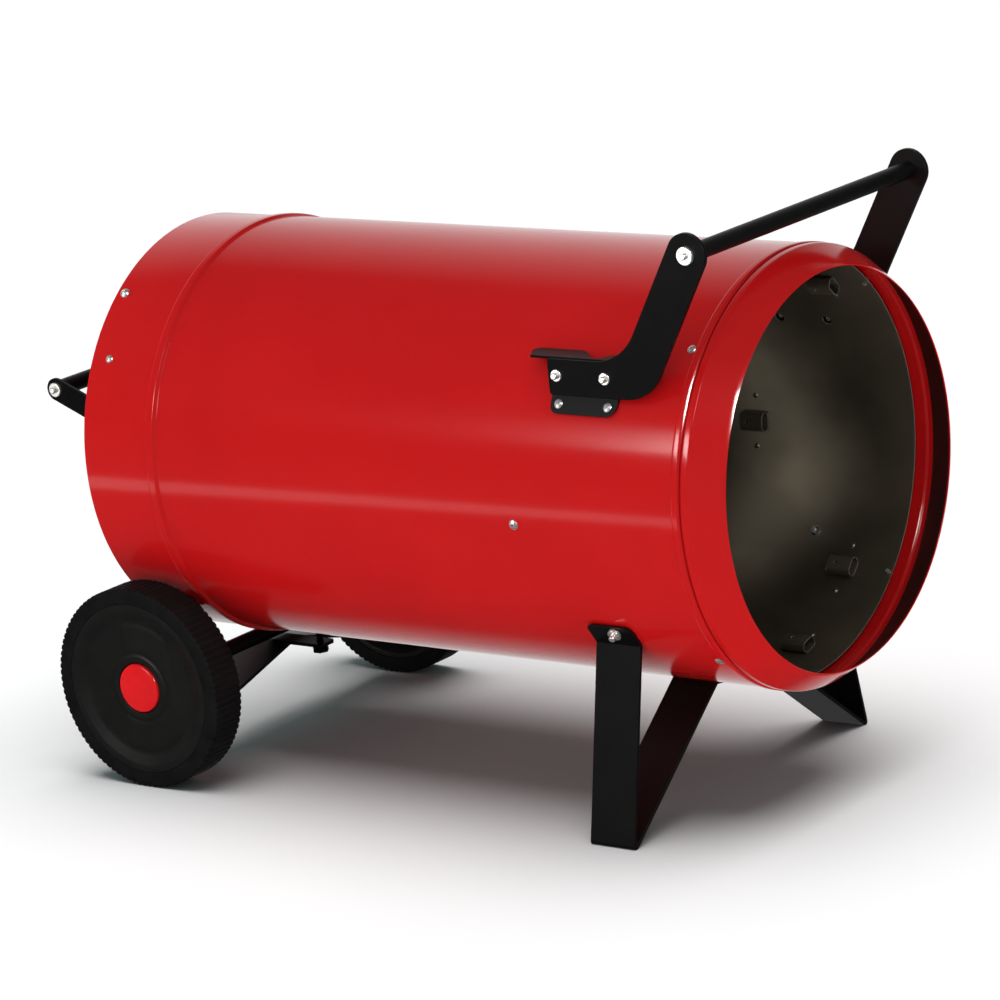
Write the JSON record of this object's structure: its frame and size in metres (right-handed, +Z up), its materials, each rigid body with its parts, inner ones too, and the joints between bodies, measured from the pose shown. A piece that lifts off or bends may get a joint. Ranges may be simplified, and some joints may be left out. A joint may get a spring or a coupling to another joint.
{
  "type": "forced air heater",
  "caption": "Wheeled gas-fired fan heater: drum with a converging outlet, fan, burner and liner inside, front V legs, rear wheels and lifting handles.",
  "frame": {"origin": "on the floor under the middle of the whole heater", "axes": "+X along the drum towards the hot-air outlet, +Y to the heater's left, +Z up"},
  "size_m": [1.0168, 0.5328, 0.7053],
  "materials": {
    "red_enamel": "gloss",
    "black_paint": "satin",
    "grey_paint": "satin",
    "heat_dark_steel": "heat darkened",
    "zinc_steel": "bright zinc",
    "black_zinc": "satin",
    "pipe_steel": "drawn",
    "fan_aluminium": "satin",
    "brass": "machined",
    "white_ceramic": "glazed",
    "black_plastic": "fine texture",
    "black_gloss": "gloss",
    "green_plastic": "gloss",
    "lamp_lens": "clear gloss",
    "wheel_plastic": "moulded",
    "tyre": "moulded rubber",
    "red_plastic": "gloss"
  },
  "bodies": {
    "chassis": {"drum_shell": "red_enamel", "outlet_cone": "red_enamel", "combustion_liner": "heat_dark_steel", "liner_clips": "heat_dark_steel", "clip_rivets": "heat_dark_steel", "flame_disc": "heat_dark_steel", "burner_cup": "heat_dark_steel", "target_disc": "heat_dark_steel", "gas_injector": "brass", "gas_pipe": "pipe_steel", "electrode_rods": "pipe_steel", "electrode_insulators": "white_ceramic", "overheat_thermostat": "black_plastic", "motor_body": "grey_paint", "motor_strap": "zinc_steel", "fan_ring": "zinc_steel", "inlet_guard": "black_paint", "guard_lugs": "black_paint", "control_box": "black_paint", "control_panel": "black_paint", "panel_screws": "zinc_steel", "box_hangers": "zinc_steel", "power_switch_body": "black_plastic", "reset_button_collar": "black_plastic", "fault_lamp": "lamp_lens", "thermostat_socket": "black_plastic", "cable_gland": "black_plastic", "gas_inlet_nipple": "brass", "gas_valve": "brass", "gas_valve_coil": "black_plastic", "ignition_controller": "black_plastic", "handle_arm_right": "black_paint", "handle_arm_left": "black_paint", "handle_bracket_right": "black_paint", "handle_bracket_left": "black_paint", "handle_bar": "black_paint", "rear_handle_bar": "black_paint", "rear_handle_arm_right": "black_paint", "rear_handle_arm_left": "black_paint", "handle_bolts": "zinc_steel", "bracket_screws": "zinc_steel", "drum_screws": "zinc_steel", "front_leg_right": "black_paint", "front_leg_left": "black_paint", "axle_carrier": "black_paint", "leg_bolts": "zinc_steel", "stay_bolt": "black_zinc", "stay_nut": "black_zinc", "axle": "black_paint", "axle_collars": "zinc_steel"},
    "wheel_right": {"wheel_disc_right": "wheel_plastic", "wheel_tyre_right": "tyre", "hub_cap_right": "red_plastic"},
    "wheel_left": {"wheel_disc_left": "wheel_plastic", "wheel_tyre_left": "tyre", "hub_cap_left": "red_plastic"},
    "fan_rotor": {"fan_impeller": "fan_aluminium", "fan_shaft": "zinc_steel"},
    "power_rocker": {"power_rocker": "black_gloss"},
    "reset_button": {"reset_button": "green_plastic"}
  },
  "joints": [
    {"name": "wheel_right_spin", "type": "hinge", "parent": "chassis", "child": "wheel_right", "pos_m": [-0.3451, -0.24, 0.123], "axis": [0, 1, 0], "continuous": true},
    {"name": "wheel_left_spin", "type": "hinge", "parent": "chassis", "child": "wheel_left", "pos_m": [-0.3451, 0.24, 0.123], "axis": [0, 1, 0], "continuous": true},
    {"name": "fan_spin", "type": "hinge", "parent": "chassis", "child": "fan_rotor", "pos_m": [-0.2146, 0, 0.388], "axis": [1, 0, 0], "continuous": true},
    {"name": "power_rocker_tilt", "type": "hinge", "parent": "chassis", "child": "power_rocker", "pos_m": [-0.3873, -0.11, 0.378], "axis": [0, 1, 0], "range_deg": [-9, 9]},
    {"name": "reset_button_press", "type": "slide", "parent": "chassis", "child": "reset_button", "axis": [1, 0, 0], "range_m": [0, 0.003], "stiffness_N_per_m": 600}
  ]
}
